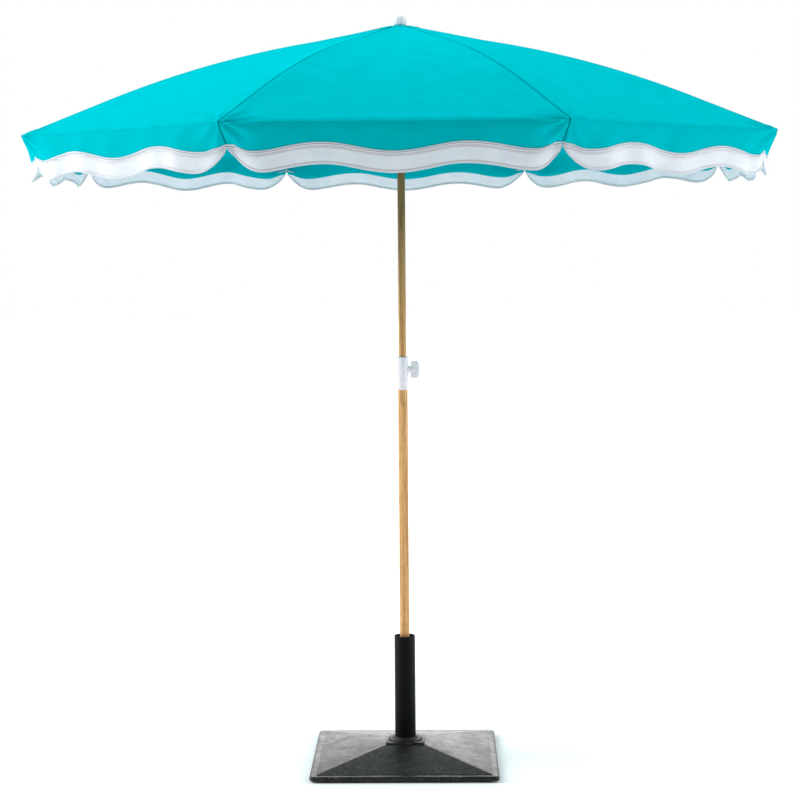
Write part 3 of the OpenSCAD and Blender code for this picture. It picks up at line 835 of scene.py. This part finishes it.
for k in range(1, panels + 1):
    def low_edge(a, k=k):
        return flap_end(k, a)

    def hem_top(a, k=k):
        return max(flap_end(k, a) - hem_width, min(band_top(a), flap_end(k, a) - 0.001))

    def flap_edge(a, k=k):
        return min(band_top(a) + flap_lap, flap_end(k, a) - 0.002)

    def binding_top(a):
        return band_top(a) - binding_lap

    def binding_edge(a, k=k):
        return min(band_top(a) + binding_width - binding_lap, flap_end(k, a))

    flap, area = cloth_sheet(
        f"flap_{k}", k, 84, 16, lambda a: -flap_tuck, flap_edge, turquoise, f"flap{k}",
        lift=-0.0004, spread=lambda t: t ** 1.4
    )
    band, band_area = cloth_sheet(
        f"white_band_{k}", k, 84, 10, band_top, low_edge, white_cloth, f"flap{k}"
    )
    binding, _ = cloth_sheet(
        f"binding_{k}", k, 84, rows_of_binding, binding_top, binding_edge, binding_finish, f"flap{k}",
        thickness=0.0004, profile=doubled
    )
    tape_uv(binding, rows_of_binding)
    hem, _ = cloth_sheet(
        f"hem_{k}", k, 84, rows_of_hem, hem_top, low_edge, hem_finish, f"flap{k}",
        thickness=0.0016, profile=turned_hem
    )
    tape_uv(hem, rows_of_hem)
    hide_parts(f"valance_{k}")
    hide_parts(f"valance_{k}")
    for piece in (flap, band, binding, hem):
        folds_up(piece)


# ---- Seam tapes ----
# A strip of the canopy's cloth lies over each rib, under the seam of its two gores. It keeps the rib from
# rubbing the gores, and covers it when the canopy is closed.
tape_half = 0.019
tape_start = 0.075
tape_end = tip_radius - 0.022
for k in range(1, panels + 1):
    tape = bmesh.new()
    across = tape.loops.layers.uv.new("UVMap")
    edge = tape.verts.layers.float.new("seam_distance")
    bmesh.ops.create_grid(tape, x_segments=70, y_segments=6, size=0.5)
    turn = Matrix.Rotation(2 * half_angle * (k - 0.5), 3, "Z")
    flat = {}
    for v in tape.verts:
        r = tape_start + (tape_end - tape_start) * (v.co.x + 0.5)
        side = 2 * v.co.y * tape_half
        flat[v] = (side, r)
        v[edge] = abs(side)
        under = 0.0006 + 0.0034 * (abs(side) / tape_half) ** 1.5
        v.co = turn @ Vector((r, side, cloth_height(r + abs(side) * math.tan(half_angle)) - under))
    for face in tape.faces:
        for loop in face.loops:
            loop[across].uv = flat[loop.vert]
    tape_length = sum(f.calc_area() for f in tape.faces) / (2 * tape_half)
    tape_piece = make_piece(f"seam_tape_{k}", tape, turquoise, f"rib{k}", 60)
    wall = tape_piece.modifiers.new("cloth", "SOLIDIFY")
    wall.thickness = 0.0006
    wall.offset = -1


# ---- Apex ----
# The gores' points run up under the finial. Their inner ends stay on the pole while the gores fold down, so
# each point is a piece of its own, tied to no body.
apex_start, apex_end = 0.009, 0.062
for k in range(1, panels + 1):
    point = bmesh.new()
    place = point.loops.layers.uv.new("UVMap")
    edge = point.verts.layers.float.new("seam_distance")
    bmesh.ops.create_grid(point, x_segments=14, y_segments=8, size=0.5)
    flat = {}
    for v in point.verts:
        r = apex_start + (apex_end - apex_start) * (v.co.x + 0.5)
        a = 2 * v.co.y
        across = a * r * math.sin(half_angle)
        flat[v] = (across, r)
        v[edge] = 0.02 if r < cloth_start else (1 - abs(a)) * r * math.sin(half_angle)
        height = cloth_height(max(r, crest_radius)) if r > crest_radius else crest_height
        height += 0.0016 - 0.0012 * (1 - a * a)
        turn = Matrix.Rotation(2 * math.pi / panels * (k - 1), 3, "Z")
        v.co = turn @ Vector((r * math.cos(half_angle), across, height))
    for face in point.faces:
        for loop in face.loops:
            loop[place].uv = flat[loop.vert]
    point_piece = make_piece(f"gore_point_{k}", point, turquoise, None, 60)
    wall = point_piece.modifiers.new("cloth", "SOLIDIFY")
    wall.thickness = 0.0009
    wall.offset = -1
    turn = 2 * math.pi / panels * (k - 1)
    out = Vector((math.cos(turn), math.sin(turn), 0))
    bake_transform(point_piece)
    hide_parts("apex_cap")


# ---- Ribs, stretchers and fittings ----
# These keep their CAD shapes. The ribs are square steel bar and the stretchers flat bar, both enamelled
# white. The crown and the runner are nylon, the screws and the catch are zinc plated, and the base holds a
# concrete block.
def even_finish(name, low, high, scale, bump_height, **inputs):
    """A finish whose tone wanders between two colours, with a relief of the same pattern. Features are about
    1 / scale metres wide."""
    finish, tree, shader = new_finish(name, **inputs)
    place = add_node(tree, "TexCoord").outputs["Object"]
    wander = add_node(tree, "TexNoise", Vector=place, Scale=scale, Detail=4.0, Roughness=0.6)
    colour = ramp_colours(
        add_node(tree, "ValToRGB", Fac=wander.outputs["Fac"]),
        (0.35, hex_colour(low)), (0.65, hex_colour(high))
    )
    tree.links.new(colour, shader.inputs["Base Color"])
    bump = add_node(tree, "Bump", Height=wander.outputs["Fac"], Strength=0.3, Distance=bump_height)
    tree.links.new(bump.outputs["Normal"], shader.inputs["Normal"])
    return finish


def dress(finish, *names):
    """Puts a finish on CAD nodes in place of their plain one."""
    for name in names:
        mesh = bpy.data.objects[name].data
        mesh.materials.clear()
        mesh.materials.append(finish)


# White stoving enamel on steel: glossy, with an orange peel of 3 mm.
enamel = even_finish("white_enamel", "#c4c7ca", "#cfd2d4", 300.0, 0.0002, Roughness=0.28, IOR=1.5)
# Natural white nylon, injection moulded: satin, with cloudy flow of 10 mm.
nylon = even_finish("white_nylon", "#c2c3c0", "#cdcec9", 90.0, 0.0002, Roughness=0.45, IOR=1.53)
# Bright zinc plate: metal with a fine crystalline frost of 2 mm.
zinc = even_finish("zinc_plate", "#9a9da0", "#b4b7ba", 480.0, 0.0001, Metallic=1.0, Roughness=0.32)
# Turned brass, a little dull.
brass = even_finish("turned_brass", "#9c7a3c", "#b08c48", 350.0, 0.0001, Metallic=1.0, Roughness=0.35)
# Grey concrete with pores of 3 to 8 mm.
concrete = even_finish("cast_concrete", "#767572", "#989692", 140.0, 0.0015, Roughness=0.9, IOR=1.5)
# Black rubber, dusty.
rubber = even_finish("black_rubber", "#141414", "#222222", 200.0, 0.0003, Roughness=0.75, IOR=1.5)
dress(enamel, *[f"{part}_{k}" for part in ("rib", "stretcher") for k in range(1, panels + 1)])
dress(nylon, "crown", "runner")
dress(zinc, "bottom_screws", "base_bolt", "tube_screw", "height_screw")
dress(zinc, "pole_plug", "crown_ring", "runner_catch")
dress(brass, "sleeve_insert")
dress(concrete, "base_weight")
dress(rubber, "base_feet")
dress(base_plastic, "base_bottom")
dress(black_coat, "tube_plug", "knob_nut")
dress(black_plastic, "pole_bush", "pole_foot")


# ---- Studio ----
# Pale floor that glows a little far from the object, in a white room that is darker behind the camera.
# Large soft lights hang overhead and stand at both sides and low behind the object. The overhead one is the
# strongest.
glow_from, glow_to = 2.5, 7.0
stage_mesh = bpy.data.meshes.new("floor")
floor_bm = bmesh.new()
bmesh.ops.create_grid(floor_bm, x_segments=1, y_segments=1, size=30)
floor_bm.to_mesh(stage_mesh)
floor_bm.free()
floor = bpy.data.objects.new("floor", stage_mesh)
bpy.context.scene.collection.objects.link(floor)
floor_finish, floor_tree, floor_shader = new_finish("pale_floor", Roughness=0.9)
floor_shader.inputs["Base Color"].default_value = hex_colour("#ffffff")
floor_shader.inputs["Specular IOR Level"].default_value = 0.1
floor_place = add_node(floor_tree, "TexCoord").outputs["Object"]
away = add_node(floor_tree, "VectorMath", {"operation": "LENGTH"}, i0=floor_place).outputs["Value"]
far_glow = add_node(floor_tree, "MapRange", i0=away, i1=glow_from, i2=glow_to, i3=0.0, i4=0.6)
floor_shader.inputs["Emission Color"].default_value = (1, 1, 1, 1)
floor_tree.links.new(far_glow.outputs["Result"], floor_shader.inputs["Emission Strength"])
stage_mesh.materials.append(floor_finish)

world = bpy.data.worlds.new("studio")
bpy.context.scene.world = world
world.use_nodes = True
direction = add_node(world.node_tree, "TexCoord").outputs["Generated"]
forward = add_node(world.node_tree, "SeparateXYZ", Vector=direction).outputs["Y"]
glow = add_node(world.node_tree, "MapRange", i0=forward, i1=-0.75, i2=0.0, i3=0.3, i4=1.0)
world.node_tree.nodes["Background"].inputs["Color"].default_value = (1, 1, 1, 1)
world.node_tree.links.new(glow.outputs["Result"], world.node_tree.nodes["Background"].inputs["Strength"])
bpy.context.scene.view_settings.view_transform = "Standard"


def soft_light(name, place, aim, size, power):
    """A square area light at place that points at aim."""
    lamp = bpy.data.lights.new(name, "AREA")
    lamp.shape = "SQUARE"
    lamp.size = size
    lamp.energy = power
    holder = bpy.data.objects.new(name, lamp)
    bpy.context.scene.collection.objects.link(holder)
    holder.location = place
    holder.rotation_euler = (Vector(aim) - Vector(place)).to_track_quat("-Z", "Y").to_euler()


soft_light("overhead", (0, 0.2, 6.0), (0, 0, 2), 4.0, 175)
soft_light("high_left", (-5.0, 0.3, 4.2), (-0.3, 0, 1.9), 3.0, 160)
soft_light("left", (-4.6, -0.5, 1.9), (-0.6, -0.5, 1.7), 2.0, 80)
soft_light("right", (4.6, -0.5, 1.9), (0.6, -0.5, 1.7), 2.0, 85)
soft_light("behind", (0, 5.5, 0.9), (0, 0, 0.3), 3.0, 65)
